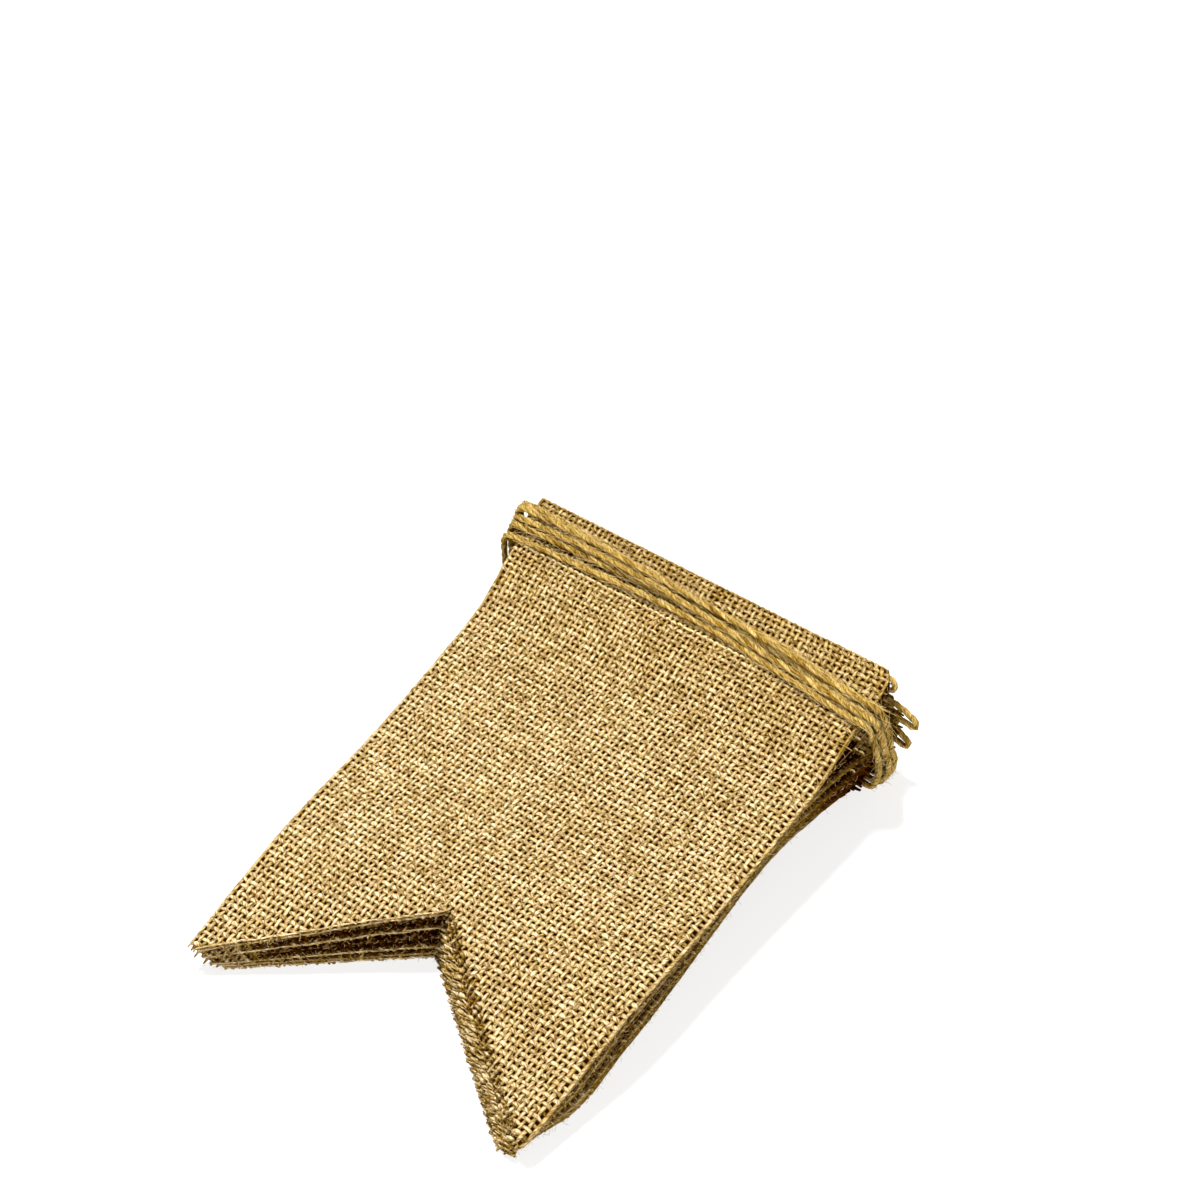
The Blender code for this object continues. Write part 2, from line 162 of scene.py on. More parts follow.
# ---- the weave ----
WARP_COUNT = 68        # yarns across a flag
WEFT_PITCH = 2.14      # from one cross yarn to the next
CRIMP = 0.28           # how far a yarn swings over and under the others
WARP_HALF = 0.62       # half the width of a yarn
WEFT_HALF = 0.69
SELVEDGE_HALF = 0.58   # and of the outermost one at a side
YARN_THICK = 0.29      # half its thickness
CLEAR = 0.03           # no yarn lies lower than this
ROW_DRIFT = 0.13       # how far a cross yarn strays from its row
LINE_DRIFT = 0.19      # and a long yarn from its line
BAND = 8.0             # width of the woven rim of a flag inside the stack
CUT_V = np.linspace(NOTCH_V, LENGTH, 60)     # where the notch's edge is measured

# One value for each flag, lowest first.
FRINGES = (6.0, 5.0, 3.6, 2.4, 1.2)    # long yarns are gone this far from the right notch edge
OVERHANG = (0.2, 1.0, 1.8, 2.2, 1.6)   # how far the cross yarns stand out past that edge
RIM_PAINTED_LIGHT = (1.3, 0.8, 1.1, 0.12, 1.1, 0.15, 1.15, 1.0)   # painted light and shade on the rims of the left notch and right side
MOUTH_SHADES = (0.9, 0.85, 0.75, 0.6, 0.35, 0.15, 0.0, 0.0)     # painted shade in the right end of the sleeve
DEEP = (3, 5)                          # flags whose rims are worn back a little


# ---- small helpers ----
def clamp(value):
    return np.clip(value, 0.0, 1.0)


def ease(value):
    value = clamp(value)
    return value * value * (3.0 - 2.0 * value)


def mix(start, end, part):
    return start + (end - start) * part


def along(rows, place, column):
    """Smooth curve through a table's column, by the place in its first."""
    xs = np.array([row[0] for row in rows], float)
    ys = np.array([row[column] for row in rows], float)
    place = np.clip(place, xs[0], xs[-1])
    k = np.clip(np.searchsorted(xs, place) - 1, 0, len(xs) - 2)
    low = np.maximum(np.arange(len(xs)) - 1, 0)
    high = np.minimum(np.arange(len(xs)) + 1, len(xs) - 1)
    slope = (ys[high] - ys[low]) / (xs[high] - xs[low])
    step = xs[k + 1] - xs[k]
    part = (place - xs[k]) / step
    square, cube = part * part, part ** 3
    return (
        ys[k] * (2 * cube - 3 * square + 1)
        + slope[k] * step * (cube - 2 * square + part)
        + ys[k + 1] * (3 * square - 2 * cube)
        + slope[k + 1] * step * (cube - square)
    )


def wander(seed, place, period):
    """Smooth uneven curve through random values, about -1 to 1."""
    place = np.asarray(place, float) / period
    values = np.random.default_rng(seed).uniform(-1.0, 1.0, 4096)
    cell = np.floor(place).astype(int)
    part = ease(place - cell)
    return mix(values[cell % 4096], values[(cell + 1) % 4096], part)


def unit(vectors):
    size = np.linalg.norm(vectors, axis=-1, keepdims=True)
    return vectors / np.maximum(size, 1e-9)


def from_origin(points):
    """Moves points of the tables above to the part's origin, in metres."""
    return (np.asarray(points, float) - (CENTRE_X, CENTRE_Y, 0.0)) * MM


# ---- how the flags lie ----
def tail_part(v):
    """Part of the way from the notch's point to the tips."""
    return clamp((v - NOTCH_V) / (LENGTH - NOTCH_V))


def notch_line(v, side):
    """x of the notch's edge in the top flag."""
    tip = np.where(side < 0, EDGES[-1][1] + TIP_WIDTH, EDGES[-1][2] - TIP_WIDTH)
    return mix(NOTCH_X, tip, tail_part(v))


def plan(flag, v, s, side):
    """x and y of a point; in the tails s runs from the notch edge, 0, to 1."""
    head_x, head_y, body_x, body_y, left_x, left_y, right_x, right_y, bow = FLAGS[flag][:LOFT]
    left, right = along(EDGES, v, 1), along(EDGES, v, 2)
    part = tail_part(v)
    middle = mix(mix(left, right, 0.5), NOTCH_X, ease(v / NOTCH_V))
    body = middle + np.where(s > 0, right - middle, middle - left) * s
    tail = mix(notch_line(v, side), np.where(side < 0, left, right), np.abs(s))
    x = np.where(part > 0.0, tail, body)
    hold = 1.0 - ease((v - HEAD_HOLD) / (HEAD_FADE - HEAD_HOLD))
    reach = ease((v - TIP_FADE) / (LENGTH - TIP_FADE)) * (part + (1.0 - part) * np.abs(s))
    x = x + mix(body_x, head_x, hold) + np.where(side < 0, left_x, right_x) * reach
    x = x + bow * along(SIDE_BOW, v, 1) * np.maximum(s, 0.0) ** 2
    x = x + FLAGS[flag][OUT] * along(SIDE_OUT, v, 1) * np.maximum(s, 0.0)
    y = FOLD_Y - v + mix(body_y, head_y, hold) + np.where(side < 0, left_y, right_y) * reach
    return x, y - HEAD_TURN * (0.5 + 0.5 * s) * (1.0 - ease(v / NOTCH_V))


def open_plan(flag, v, s, side):
    """As plan, and past the notch's edge a yarn runs on into the open."""
    x, y = plan(flag, v, s, side)
    over = (tail_part(v) > 0.0) & (side * s < 0.0)
    wide = np.where(side < 0, along(EDGES, v, 1), along(EDGES, v, 2)) - notch_line(v, side)
    return np.where(over, x - 2.0 * wide * np.abs(s), x), y


def outline(flag):
    """Corners of a flag seen from above, counter-clockwise."""
    rows = np.array([0.0, 12.0, 24.0, 36.0, 48.0, 93.0, NOTCH_V, LENGTH])
    left, right = (np.stack(plan(flag, rows, side, side), 1) for side in (-np.ones(8), np.ones(8)))
    notch = np.stack(plan(flag, np.array([NOTCH_V]), np.zeros(1), np.ones(1)), 1)
    return np.concatenate([left, notch, right[::-1]])


def outside(corners, x, y):
    """Distance from points to an outline, 0 inside it."""
    inside = np.zeros(x.shape, bool)
    best = np.full(x.shape, 1e9)
    for (ax, ay), (bx, by) in zip(corners, np.roll(corners, -1, 0)):
        if ay != by:
            crosses = (ay > y) != (by > y)
            inside ^= crosses & (x < (bx - ax) * (y - ay) / (by - ay) + ax)
        run_x, run_y = bx - ax, by - ay
        part = clamp(((x - ax) * run_x + (y - ay) * run_y) / (run_x ** 2 + run_y ** 2))
        best = np.minimum(best, np.hypot(x - ax - run_x * part, y - ay - run_y * part))
    return np.where(inside, 0.0, best)


OUTLINES = [outline(flag) for flag in range(len(FLAGS))]


def level(flag, x, y):
    """Height of a flag's underside above the surface."""
    x, y = np.asarray(x, float), np.asarray(y, float)
    z = UNDER * ease((y - LIFT_LOW) / (LIFT_HIGH - LIFT_LOW))
    rise, share, reach, split = (along(RISES, y, column) for column in (1, 2, 3, 4))
    split = split * ease((x - SPLIT_X[0]) / (SPLIT_X[1] - SPLIT_X[0]))
    for lower in range(flag):
        past = outside(OUTLINES[lower], x, y) / reach
        step = rise + share * FLAGS[lower][LOFT] + split * FLAGS[lower][SPLIT]
        z = z + step * np.maximum(1.0 - past * past, 0.0)
    return z


def sleeve_roof(v):
    """Inner height of the sleeve, which narrows towards its seam."""
    return TUNNEL * (1.0 - ease((v - 4.0) / (SEAM - 4.0)))


def body_lift(v):
    """The single cloth leaves the seam on top of the hem and sinks to rest."""
    return CLOTH * (1.0 - ease((v - HEADER) / 16.0))


def cloth_path():
    """The middle of the cloth from its hem round the sleeve to the tips: w, v,
    height, and the direction of its outer side."""
    half = CLOTH / 2
    turn = SLEEVE / 2
    rows = [(v, half) for v in (HEADER + 3.0, HEADER, SEAM, 14.0, 9.0, 5.0)]
    for k in range(9):
        angle = math.radians(270.0 - 22.5 * k)
        bend = turn - half
        rows.append((turn + bend * math.cos(angle), turn + bend * math.sin(angle)))
    for v in (5.0, 7.0, 9.0, 12.0, 15.5, SEAM):
        rows.append((v, sleeve_roof(v) + CLOTH + half))
    for v in (HEADER, 25.0, 29.0, 33.0, 38.0, 48.0, NOTCH_V, LENGTH + 6.0):
        rows.append((v, body_lift(v) + half))
    rows = np.array(rows)
    step = np.hypot(*np.diff(rows, axis=0).T)
    run = np.concatenate([[0.0], np.cumsum(step)]) - 3.0
    slope = np.gradient(rows, run, axis=0)
    normal = unit(np.stack([-slope[:, 1], slope[:, 0]], 1))
    return run, rows[:, 0], rows[:, 1], normal[:, 0], normal[:, 1]


PATH = cloth_path()
FOLD_W = PATH[0][np.argmin(PATH[1])]                       # w of the header fold
HEADER_W = PATH[0][np.flatnonzero(PATH[1] == HEADER)[1]]   # foot of the sleeve, on top
LIFT = HEADER_W - HEADER                                   # w less v, on the body


def notch_edge(v, side):
    """Where the notch's edge lies between the middle, 0, and the side, 1."""
    edge = along(EDGES, v, 1 if side < 0 else 2)
    return (notch_line(v, side) - NOTCH_X) / (edge - NOTCH_X)


def cut_w(s):
    """w at which the notch cuts a flag, for each s."""
    left, right = (np.interp(np.abs(s), notch_edge(CUT_V, side), CUT_V) for side in (-1, 1))
    return LIFT + np.where(s < 0, left, right)


def cloth_point(flag, w, s, off):
    """A point of a flag's cloth, off from its middle towards its outer side."""
    w, s, off = np.broadcast_arrays(np.asarray(w, float), s, off)
    v, h, nv, nh = (np.interp(w, PATH[0], column) for column in PATH[1:])
    v, h = v + off * nv, h + off * nh
    side = np.where(s < 0, -1.0, 1.0)
    edge = np.where(side < 0, notch_edge(v, -1), notch_edge(v, 1))
    fit = side * np.clip((np.abs(s) - edge) / np.maximum(1.0 - edge, 0.02), -0.25, 1.25)
    x, y = open_plan(flag, v, np.where(tail_part(v) > 0.0, fit, s), side)
    return np.stack([x, y, level(flag, x, y) + h], -1)


# ---- meshes ----
def add_object(name, data):
    made = bpy.data.objects.new(name, data)
    bpy.context.scene.collection.objects.link(made)
    return made


def new_piece(name, mesh, finish):
    mesh.materials.clear()
    mesh.materials.append(finish)
    piece = add_object(name, mesh)
    return piece


def baked(piece):
    """The piece's mesh with its modifiers applied; the piece is removed."""
    dg = bpy.context.evaluated_depsgraph_get()
    mesh = bpy.data.meshes.new_from_object(piece.evaluated_get(dg))
    mesh.name = piece.name
    bpy.data.objects.remove(piece, do_unlink=True)
    return mesh


def mesh_from(name, points, quads, rings, quad_uv, ring_uv, tone_and_shade):
    """A smooth mesh from quads and closed end rings, with UVs and a tone that carries painted light and
    shade.
    """
    sides = rings.shape[1] if len(rings) else 3
    mesh = bpy.data.meshes.new(name)
    mesh.vertices.add(len(points))
    mesh.vertices.foreach_set("co", points.astype(np.float32).ravel())
    loops = np.concatenate([quads.ravel(), rings.ravel()]).astype(np.int32)
    mesh.loops.add(len(loops))
    mesh.loops.foreach_set("vertex_index", loops)
    starts = np.concatenate([
        np.arange(len(quads)) * 4,
        quads.size + np.arange(len(rings)) * sides,
    ]).astype(np.int32)
    mesh.polygons.add(len(starts))
    mesh.polygons.foreach_set("loop_start", starts)
    mesh.update(calc_edges=True)
    uv = mesh.uv_layers.new(name="run")
    uv.data.foreach_set("uv", np.concatenate([quad_uv.ravel(), ring_uv.ravel()]).astype(np.float32))
    shade = mesh.attributes.new("tone_and_shade", "FLOAT", "POINT")
    shade.data.foreach_set("value", tone_and_shade.astype(np.float32))
    mesh.validate()
    mesh.shade_smooth()
    return mesh


def tubes(name, points, across, lift, wide, thick, run_of, place, tone_and_shade, sides):
    """Oval tubes along many lines at once.  run_of numbers each point's line."""
    angle = 2 * np.pi * np.arange(sides) / sides
    ring = (
        points[:, None, :]
        + across[:, None, :] * (wide[:, None] * np.cos(angle))[:, :, None]
        + lift[:, None, :] * (thick[:, None] * np.sin(angle))[:, :, None]
    )
    ring[:, :, 2] = np.maximum(ring[:, :, 2], CLEAR)
    change = run_of[1:] != run_of[:-1]
    joined = np.flatnonzero(~change)[:, None]
    k = np.arange(sides)
    corners = ((0, k), (1, k), (1, (k + 1) % sides), (0, (k + 1) % sides))
    quads = np.stack([(joined + n) * sides + corner for n, corner in corners], -1).reshape(-1, 4)
    start, stop = (np.repeat(place[joined + n], sides, 1) for n in (0, 1))
    low = np.broadcast_to(k / sides, start.shape)
    high = low + 1.0 / sides
    quad_uv = np.stack([start, low, stop, low, stop, high, start, high], -1)
    first = np.flatnonzero(np.r_[True, change])
    last = np.flatnonzero(np.r_[change, True])
    rings = np.concatenate([first[:, None] * sides + k, last[:, None] * sides + k[::-1]])
    ring_place = np.repeat(place[np.r_[first, last]][:, None], sides, 1)
    ring_uv = np.stack([ring_place, np.broadcast_to(k / sides, rings.shape)], -1)
    points = from_origin(ring.reshape(-1, 3))
    if tone_and_shade.ndim == 1:
        tone_and_shade = np.repeat(tone_and_shade, sides)
    return mesh_from(name, points, quads, rings, quad_uv, ring_uv, tone_and_shade.ravel())


# ---- woven cloth ----
def weave_grid(flag):
    """Where the yarns of a flag cross: w and s of each crossing."""
    seed = 100 * flag
    s_row = -1.0 + (2.0 * np.arange(WARP_COUNT) + 1.0) / WARP_COUNT
    w_row = np.arange(0.9, FOLD_W + LENGTH - 1.0, WEFT_PITCH)
    w = w_row[:, None] + np.zeros(WARP_COUNT)
    s = s_row + np.zeros((len(w_row), 1))
    for j in range(len(w_row)):
        w[j] += ROW_DRIFT * wander(seed + 2000 + j, s_row * HALF_WIDTH, 17.0)
    for i in range(WARP_COUNT):
        s[:, i] += LINE_DRIFT / HALF_WIDTH * wander(seed + 4000 + i, w_row, 21.0)
    return w, s


def in_band(w, s, band):
    """True near the sides, the notch and the fold, where a flag shows."""
    near_side = (1.0 - np.abs(s)) * HALF_WIDTH < band
    near_fold = np.abs(w - FOLD_W) < band + 2.0
    near_notch = (cut_w(s) - w) * 0.8 < band
    return near_side | near_fold | near_notch


def thread(w, s, off, half, seed, band, number):
    """One yarn's samples as a table: w, s, off, half width, tone with its painted shade, run, grain."""
    place = np.r_[0.0, np.cumsum(np.hypot(np.diff(w), np.diff(s) * HALF_WIDTH))]
    uneven = 1.0 + 0.22 * wander(seed, place, 3.4) + 0.04 * wander(seed + 1, place, 19.0)
    tone = 0.51 + 0.03 * wander(seed + 2, number * 7.3 + 0.5, 1.0)
    tone_and_shade = tone + 0.10 * wander(seed + 3, place, 7.0) + 0.16 * wander(seed + 4, place, 1.7)
    # painted shade: the yarn is darker where it dips under the others and lighter where it rides over them
    tone_and_shade += 0.30 * np.clip(off / CRIMP, -1.0, 1.0)
    keep = np.ones(len(w), bool) if band is None else in_band(w, s, band)
    piece = np.cumsum(np.r_[True, keep[1:] != keep[:-1]])
    grain = place + 61.7 * (number % 97)    # no two yarns side by side share their streaks
    table = np.stack([w, s, off, half * uneven, tone_and_shade, number + piece / 100.0, grain], 1)[keep]
    count = {run: np.count_nonzero(table[:, 5] == run) for run in np.unique(table[:, 5])}
    return table[[count[run] > 1 for run in table[:, 5]]]


def with_middles(values, fine):
    """The values, and in a fine weave also those half-way between them."""
    if not fine:
        return values
    out = np.empty(2 * len(values) - 1)
    out[::2] = values
    out[1::2] = (values[1:] + values[:-1]) / 2
    return out


def warp_yarns(flag, fine, band):
    """The long yarns of a flag, as one table."""
    w, s = weave_grid(flag)
    rng = np.random.default_rng(900 + flag)
    tables = []
    for i in range(WARP_COUNT):
        end = float(cut_w(s[-1, i])) + rng.uniform(-0.3, 0.4)
        if abs(s[-1, i]) > 0.92:
            end = min(end, LIFT + LENGTH - 0.4) + rng.uniform(-0.8, 0.3)
        if flag < len(FRINGES) and 0 < s[-1, i] < 0.93:
            end -= FRINGES[flag] * rng.uniform(0.75, 1.0)
        if flag in DEEP and s[-1, i] < 0:
            end -= rng.uniform(1.0, 1.8)
        inside = w[:, i] < end - 0.6
        outermost = i in (0, WARP_COUNT - 1)
        if outermost:
            back = 1.7 if i and flag in DEEP else 0.72
            s[:, i] = np.sign(s[0, i]) * (1.0 - back / HALF_WIDTH)
        sign = np.where((np.arange(len(w)) + i) % 2 == 0, 1.0, -1.0)[inside]
        run_w = np.r_[w[0, i] - rng.uniform(0.6, 1.6), with_middles(w[inside, i], fine), end]
        run_s = with_middles(s[inside, i], fine)
        run_s = np.r_[run_s[0], run_s, run_s[-1] + rng.uniform(-0.006, 0.006)]
        crimp = 0.3 * CRIMP if outermost else CRIMP
        off = np.r_[0.0, with_middles(sign * crimp, fine), rng.uniform(-0.3, 0.25)]
        half = SELVEDGE_HALF if outermost else WARP_HALF
        tables.append(thread(run_w, run_s, off, half, 50000 + 1000 * flag + 5 * i, band, i + 1))
    return np.concatenate(tables)


def weft_yarns(flag, fine, band):
    """The cross yarns of a flag, with the fringe of its notch, as one table."""
    w, s = weave_grid(flag)
    rng = np.random.default_rng(1900 + flag)
    tables = []
    for j in range(len(w)):
        sign = np.where((np.arange(WARP_COUNT) + j) % 2 == 0, -1.0, 1.0)
        v_mid = w[j].mean() - LIFT
        left, right = -1.0 + 0.45 / HALF_WIDTH, 1.0 - (1.3 if flag in DEEP else 0.45) / HALF_WIDTH
        runs = [(left, right)]
        if v_mid > NOTCH_V:
            runs = [(left, -notch_edge(v_mid, -1)), (notch_edge(v_mid, 1), right)]
        in_sleeve = abs(v_mid) < SEAM and flag < len(FLAGS) - 1
        ravel = 2.8 + 0.9 * max(1 - flag, 0) if in_sleeve else 0.2
        further = max(FLAGS[flag][0], 0.0) if ravel > 1.0 else 0.0
        if flag > 5 and 5.0 < v_mid < SEAM + 3.0:
            further = 3.2 - ravel + 0.2
        for number, (low, high) in enumerate(runs):
            low = low - (rng.uniform(-0.2, 0.2) + rng.uniform(0.3, 0.9) * (ravel + further)) / HALF_WIDTH
            high = high + (rng.uniform(-0.2, 0.2) + rng.uniform(0.3, 1.0) * ravel) / HALF_WIDTH
            if flag < len(FRINGES) and number == 1:
                low -= OVERHANG[flag] * rng.uniform(0.5, 1.1) / HALF_WIDTH
            inside = (s[j] > low + 0.008) & (s[j] < high - 0.008)
            if not inside.any():
                continue
            run_s = np.r_[low, with_middles(s[j, inside], fine), high]
            run_w = with_middles(w[j, inside], fine)
            run_w = np.r_[run_w[0] + rng.uniform(-0.4, 0.4), run_w, run_w[-1] + rng.uniform(-0.4, 0.4)]
            swing = with_middles(sign[inside] * CRIMP, fine)
            off = np.r_[rng.uniform(-0.3, 0.2), swing, rng.uniform(-0.3, 0.2)]
            seed = 80000 + 1000 * flag + 5 * j
            tables.append(thread(run_w, run_s, off, WEFT_HALF, seed, band, 2 * j + number + 1))
    if flag < len(FRINGES):
        for number, v in enumerate(np.arange(NOTCH_V + 1.0, LENGTH - 1.0, 0.8)):
            start = notch_edge(v, 1) - OVERHANG[flag] * rng.uniform(0.3, 1.2) / HALF_WIDTH
            run_s = start + np.linspace(0.0, FRINGES[flag] + OVERHANG[flag] + 1.0, 5) / HALF_WIDTH
            run_w = LIFT + v + 0.5 * wander(flag + 300 + number, np.arange(5), 1.6)
            off = 0.5 * wander(flag + 500 + number, np.arange(5), 1.3)
            seed = 97000 + 200 * flag + number
            tables.append(thread(run_w, run_s, off, 0.29, seed, None, 1000 + number))
    if flag not in DEEP:
        v = np.arange(NOTCH_V + 0.4, LENGTH - 0.6, 1.1)
        run_s = -(notch_edge(v, -1) + 0.004 + 0.005 * wander(flag + 60, v, 2.3))
        off = 0.22 * wander(flag + 33, v, 1.6) + 0.15
        tables.append(thread(LIFT + v, run_s, off, 0.36, 89999 + 10 * flag, band, 899))
    return np.concatenate(tables)


def painted_light(flag, w, s, points):
    """Painted light and shade: 1 where a flag lies open, down to 0 deep under the next one, with painted
    light on its rims, tips, sleeve ends, fringe, fold and left side.
    """
    if flag + 1 == len(FLAGS):
        return np.ones(len(w))
    past = outside(OUTLINES[flag + 1], points[:, 0], points[:, 1])
    to_side = (1.0 - np.abs(s)) * HALF_WIDTH
    to_notch = (cut_w(s) - w) * 0.8
    rim = np.minimum(to_side, to_notch)
    # painted shade under the next flag, painted light along the cut rims
    light = np.maximum(ease(past / 1.4), 1.0 - ease((rim - 0.5) / 0.9))
    shaded = np.where(s < 0, to_notch < to_side, to_side < to_notch) & (rim < 3.0) & (w > HEADER_W)
    # the rims of the left notch and right side are painted lighter or darker, flag by flag
    light = light * np.where(shaded, RIM_PAINTED_LIGHT[flag], 1.0)
    # painted light at the tips, sleeve ends, fringe, fold and left side
    at_tip = ease((w - LIFT - LENGTH + 16.0) / 10.0) * np.where(s < 0, 1.1, 0.4)
    right_end = ease((s - 0.88) / 0.06) * (1.15 if flag > 3 else 0.35)
    left_end = ease((-s - 0.86) / 0.06) * 0.75
    at_sleeve = np.where(w < HEADER_W, np.maximum(right_end, left_end), 0.0)
    in_fringe = (s > 0) & (to_notch < 7.0) & (w > LIFT + NOTCH_V)
    at_fringe = np.where(in_fringe, 1.05, 0.0) * ease(past / 0.8)
    at_fold = 0.95 * (1.0 - ease((np.abs(w - FOLD_W) - 2.6) / 2.0))
    on_left = (s < 0) & (to_side < to_notch)
    at_left = np.where(on_left, 0.35 * (1.0 - ease((to_side - 1.0) / 7.0)), 0.0)
    return np.maximum.reduce([light, at_tip, at_sleeve, at_fringe, at_fold, at_left])


def mouth_shade(flag, w, s):
    """Painted shade: 1 in the shadowed right ends of the sleeves, 0 elsewhere."""
    v = np.interp(w, PATH[0], PATH[1])
    return ease((s - 0.72) / 0.16) * (1.0 - ease((v - 16.0) / 34.0)) * MOUTH_SHADES[flag]


def yarn_mesh(name, flag, table, sides):
    """The yarns of a table as tubes, with painted shade: darker on their undersides, inside the stack, in
    the sleeves' mouths and towards the header fold.
    """
    w, s, off, half, tone_and_shade, run, grain = table.T
    points = cloth_point(flag, w, s, off)
    # painted light and shade from where the yarn lies in the stack
    tone_and_shade = (0.05 + 0.95 * painted_light(flag, w, s, points)) * (0.25 + 0.75 * tone_and_shade)
    # painted shade in the sleeves' mouths and towards the header fold
    tone_and_shade *= (1.0 - 0.80 * mouth_shade(flag, w, s)) * (0.80 + 0.20 * ease((w - LIFT + 6.0) / 80.0))
    # painted shade on the underside of each yarn
    below = ease(0.45 - np.sin(2 * np.pi * np.arange(sides) / sides))
    tone_and_shade = tone_and_shade[:, None] * (1.0 - 0.76 * below)
    down = cloth_point(flag, w + 0.25, s, off) - points
    over = cloth_point(flag, w, s + 0.003, off) - points
    normal = unit(np.cross(down, over))
    ahead = np.zeros_like(points)
    same = run[1:] == run[:-1]
    step = np.where(same[:, None], points[1:] - points[:-1], 0.0)
    ahead[1:] += step
    ahead[:-1] += step
    ahead = unit(ahead)
    across = unit(np.cross(ahead, normal))
    lift = np.cross(across, ahead)
    ends = np.r_[True, ~same] | np.r_[~same, True]
    half = np.where(ends, half * 0.62, half)
    thick = YARN_THICK * np.sqrt(half / half.mean())
    return tubes(name, points, across, lift, half, thick, run, grain, tone_and_shade, sides)


def core_mesh(name, flag, thickness, off):
    """A thin sheet through a flag's cloth, off from its middle, with its tails."""
    columns = 24
    half = columns // 2
    reach = 0.985
    body_w = np.r_[
        np.linspace(0.0, FOLD_W - 5.0, 7)[:-1],
        np.linspace(FOLD_W - 5.0, FOLD_W + 5.0, 13),
        np.linspace(FOLD_W + 5.0, LIFT + NOTCH_V, 32)[1:],
    ]
    body_s = np.linspace(-1.0, 1.0, columns + 1) * reach
    lines = [np.stack([np.full(columns + 1, w), body_s]) for w in body_w]
    body = np.arange(len(body_w) * (columns + 1)).reshape(-1, columns + 1)
    strips = list(zip(body[:-1], body[1:]))
    count = body.size
    for side, first in ((-1, 0), (1, half)):
        above = body[-1, first:first + half + 1]
        for v in np.linspace(NOTCH_V, LENGTH - 3.0, 14)[1:]:
            edge = notch_edge(v, side) + 0.014
            part = np.linspace(reach, edge, half + 1) if side < 0 else np.linspace(edge, reach, half + 1)
            lines.append(np.stack([np.full(half + 1, LIFT + v), side * part]))
            below = count + np.arange(half + 1)
            strips.append((above, below))
            above = below
            count += half + 1
    w, s = np.concatenate(lines, 1)
    faces = np.concatenate([np.stack([a[:-1], b[:-1], b[1:], a[1:]], 1) for a, b in strips])
    mesh = bpy.data.meshes.new(name)
    mesh.from_pydata(from_origin(cloth_point(flag, w, s, off)).tolist(), [], faces.tolist())
    layer = mesh.uv_layers.new(name="run")
    loops = np.empty(len(mesh.loops), np.int32)
    mesh.loops.foreach_get("vertex_index", loops)
    place = np.stack([w, s * HALF_WIDTH], 1)
    layer.data.foreach_set("uv", place[loops].astype(np.float32).ravel())
    mesh.validate()
    mesh.shade_smooth()
    piece = add_object(name, mesh)
    wall = piece.modifiers.new("wall", "SOLIDIFY")
    wall.thickness = thickness * MM
    wall.offset = 0.0
    return baked(piece)


# ---- the cord's route, as in the part ----
def sleeve_path(flag, ends):
    s = np.array(ends)
    x, y = plan(flag, SLEEVE / 2, s, np.where(s > 0, 1.0, -1.0))
    return list(zip(x, y, level(flag, x, y) + SLEEVE / 2))


def strung_route():
    stations = [-1.0, -0.75, -0.5, 0.5, 0.75, 1.0]
    route = []
    for flag in range(len(FLAGS)):
        onward = flag % 2 == 0
        run = sleeve_path(flag, stations if onward else stations[::-1])
        if route:
            out = -1.0 if onward else 1.0
            x0, y0, z0 = route[-1]
            x1, y1, z1 = run[0]
            bow, drop = LINKS[flag - 1]
            far = (max(x0 * out, x1 * out) + bow) * out
            for reach, part, hang in LINK_BOW:
                x = mix(x0 if part < 0.5 else x1, far, reach)
                route.append((x, mix(y0, y1, part), mix(z0, z1, part) - drop * hang))
        route += run
    return route


def top_of_stack(x, y):
    part = (x - EDGES[0][1]) / (EDGES[0][2] - EDGES[0][1])
    v = FOLD_Y - y - HEAD_TURN * clamp(part)
    thick = sleeve_roof(v) + 2 * CLOTH if v < SEAM else body_lift(v) + CLOTH
    return float(level(len(FLAGS) - 1, x, y)) + thick


def turn_y(turn, x):
    return float(along(tuple(zip(TURN_X, TURNS[turn][:5])), x, 1))


def turn_height(turn, x):
    y = turn_y(turn, x)
    rank = TURNS[turn][-1]
    z = top_of_stack(x, y) + TURN_SEAT
    for other, row in enumerate(TURNS):
        off = abs(turn_y(other, x) - y)
        if row[-1] < rank and off < TURN_STEP:
            z = max(z, turn_height(other, x) + math.sqrt(TURN_STEP ** 2 - off ** 2))
    return z


def wound_route():
    low = CORD / 2
    high = turn_height(0, TOP_X[0])
    x0, y0, z0 = strung_route()[0]
    route = [(x0 - GAP - out, y0 - back, z0 + up) for out, back, up in FIRST_RISE]
    for x, part in END_LEFT[2:]:
        lean = LEAN * (TURNS[0][0] - LEAN_Y)
        route.append((x - lean, TURNS[0][0] + 1.2 * (1.0 - part), mix(low, high, part)))
    for turn, row in enumerate(TURNS):
        for x in TOP_X:
            route.append((x, turn_y(turn, x), turn_height(turn, x)))
        high, right, side, under, rank = route[-1][2], *row[4:]
        for x, part, on_top, beside, below, step in END_RIGHT:
            y = on_top * right + beside * side + below * under
            route.append((x + step * LAYER * min(rank, 1), y, mix(low, high, part)))
        if turn + 1 == len(TURNS):
            route.append((*TUCK, low))
            break
        left = TURNS[turn + 1][0]
        high = turn_height(turn + 1, TOP_X[0])
        for x, part in END_LEFT:
            y = mix(mix(under, left, 0.75), left, part)
            route.append((x - LEAN * (left - LEAN_Y), y, mix(low, high, part)))
    return route


